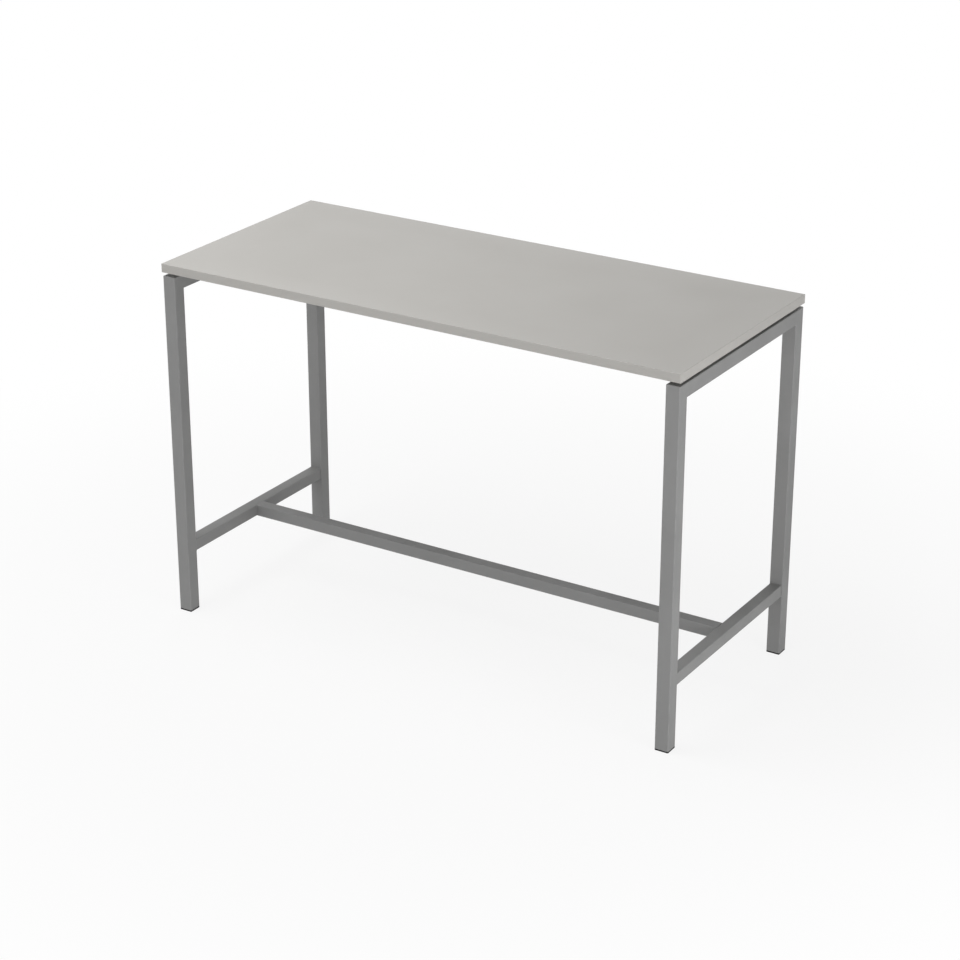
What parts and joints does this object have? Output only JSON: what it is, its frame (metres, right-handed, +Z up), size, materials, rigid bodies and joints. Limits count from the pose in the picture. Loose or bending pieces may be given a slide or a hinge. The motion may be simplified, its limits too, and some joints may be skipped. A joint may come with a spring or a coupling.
{
  "type": "standing meeting table",
  "caption": "Tall rectangular meeting table with a laminate top over open square-tube end frames, joined near the floor by a central footrest beam.",
  "frame": {"origin": "on the floor, under the middle of the top", "axes": "+X along the top towards the right end as seen from the front, +Y from the front edge to the back edge, +Z up"},
  "size_m": [1.6, 0.7, 1.05],
  "materials": {
    "laminate": "satin, light warm grey melamine on chipboard",
    "edge_band": "satin, light warm grey ABS",
    "frame_paint": "fine matt mid-grey powder coat",
    "zinc_steel": "bright zinc plate",
    "foot_plastic": "fine moulded grain, black"
  },
  "bodies": {
    "table": {"edge_band_back": "edge_band", "edge_band_front": "edge_band", "edge_band_left": "edge_band", "edge_band_right": "edge_band", "fixing_cleats": "frame_paint", "foot_insert_back_left": "foot_plastic", "foot_insert_back_right": "foot_plastic", "foot_insert_front_left": "foot_plastic", "foot_insert_front_right": "foot_plastic", "foot_nut_back_left": "zinc_steel", "foot_nut_back_right": "zinc_steel", "foot_nut_front_left": "zinc_steel", "foot_nut_front_right": "zinc_steel", "footrest_beam": "frame_paint", "footrest_screws": "zinc_steel", "footrest_spigot_left": "frame_paint", "footrest_spigot_right": "frame_paint", "leg_back_left": "frame_paint", "leg_back_right": "frame_paint", "leg_front_left": "frame_paint", "leg_front_right": "frame_paint", "lower_cross_rail_left": "frame_paint", "lower_cross_rail_right": "frame_paint", "support_beam_back": "frame_paint", "support_beam_front": "frame_paint", "support_seat_back_left": "frame_paint", "support_seat_back_right": "frame_paint", "support_seat_front_left": "frame_paint", "support_seat_front_right": "frame_paint", "support_seat_screws": "zinc_steel", "tabletop_board": "laminate", "tabletop_screws": "zinc_steel", "upper_cross_rail_left": "frame_paint", "upper_cross_rail_right": "frame_paint", "weld_beads_left": "frame_paint", "weld_beads_right": "frame_paint", "weld_beads_supports": "frame_paint"},
    "levelling_foot_front_left": {"levelling_pad_front_left": "foot_plastic", "levelling_stem_front_left": "zinc_steel"},
    "levelling_foot_front_right": {"levelling_pad_front_right": "foot_plastic", "levelling_stem_front_right": "zinc_steel"},
    "levelling_foot_back_left": {"levelling_pad_back_left": "foot_plastic", "levelling_stem_back_left": "zinc_steel"},
    "levelling_foot_back_right": {"levelling_pad_back_right": "foot_plastic", "levelling_stem_back_right": "zinc_steel"}
  },
  "joints": [
    {"name": "levelling_front_left", "type": "slide", "parent": "table", "child": "levelling_foot_front_left", "axis": [0, 0, -1], "range_m": [0, 0.01]},
    {"name": "levelling_front_right", "type": "slide", "parent": "table", "child": "levelling_foot_front_right", "axis": [0, 0, -1], "range_m": [0, 0.01]},
    {"name": "levelling_back_left", "type": "slide", "parent": "table", "child": "levelling_foot_back_left", "axis": [0, 0, -1], "range_m": [0, 0.01]},
    {"name": "levelling_back_right", "type": "slide", "parent": "table", "child": "levelling_foot_back_right", "axis": [0, 0, -1], "range_m": [0, 0.01]}
  ]
}
